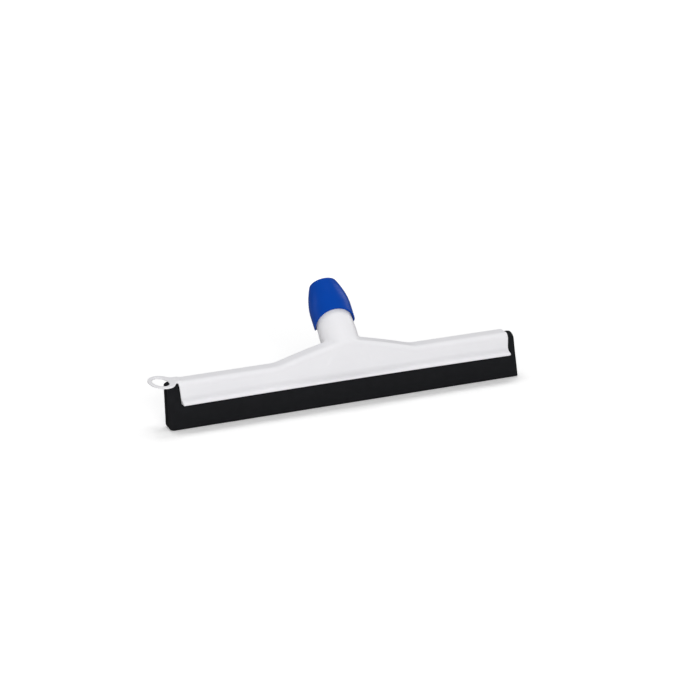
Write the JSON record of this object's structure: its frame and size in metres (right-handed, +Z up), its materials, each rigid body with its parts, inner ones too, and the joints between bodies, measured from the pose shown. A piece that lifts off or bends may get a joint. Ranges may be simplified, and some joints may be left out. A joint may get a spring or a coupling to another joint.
{
  "type": "floor squeegee head",
  "caption": "Floor squeegee head: a plastic channel grips a folded foam rubber wiping blade, with a hanging eye and a tilted screw clamp socket for a round handle.",
  "frame": {"origin": "middle of the blade's footprint on the floor, midway along the blade and midway between its two wiping lips", "axes": "+X along the blade with the hanging eye at -X, +Y to the back where the handle leans, +Z up from the floor"},
  "size_m": [0.471, 0.1038, 0.1396],
  "materials": {
    "body_plastic": "satin moulded polypropylene",
    "foam": "cut moss rubber with fine closed cells",
    "inner_plastic": "plain moulded",
    "screw_steel": "zinc plated",
    "nut_plastic": "smooth moulded polypropylene"
  },
  "bodies": {
    "head": {"body": "body_plastic", "foam_blade": "foam", "core_strip": "inner_plastic", "blade_screw_1": "screw_steel", "blade_screw_2": "screw_steel", "blade_screw_3": "screw_steel", "blade_screw_4": "screw_steel"},
    "collet": {"collet": "inner_plastic"},
    "nut": {"clamp_nut": "nut_plastic"}
  },
  "joints": [
    {"name": "collet_lift", "type": "slide", "parent": "head", "child": "collet", "axis": [0, 0.7071, 0.7071], "range_m": [-0.0006, 0.012]},
    {"name": "nut_turn", "type": "hinge", "parent": "collet", "child": "nut", "pos_m": [0, 0, 0.057], "axis": [0, 0.7071, 0.7071], "range_deg": [-30, 720]}
  ],
  "couplings": [
    {"joint": "collet_lift", "follows": "nut_turn", "m_per_rad": 0.00095492}
  ]
}
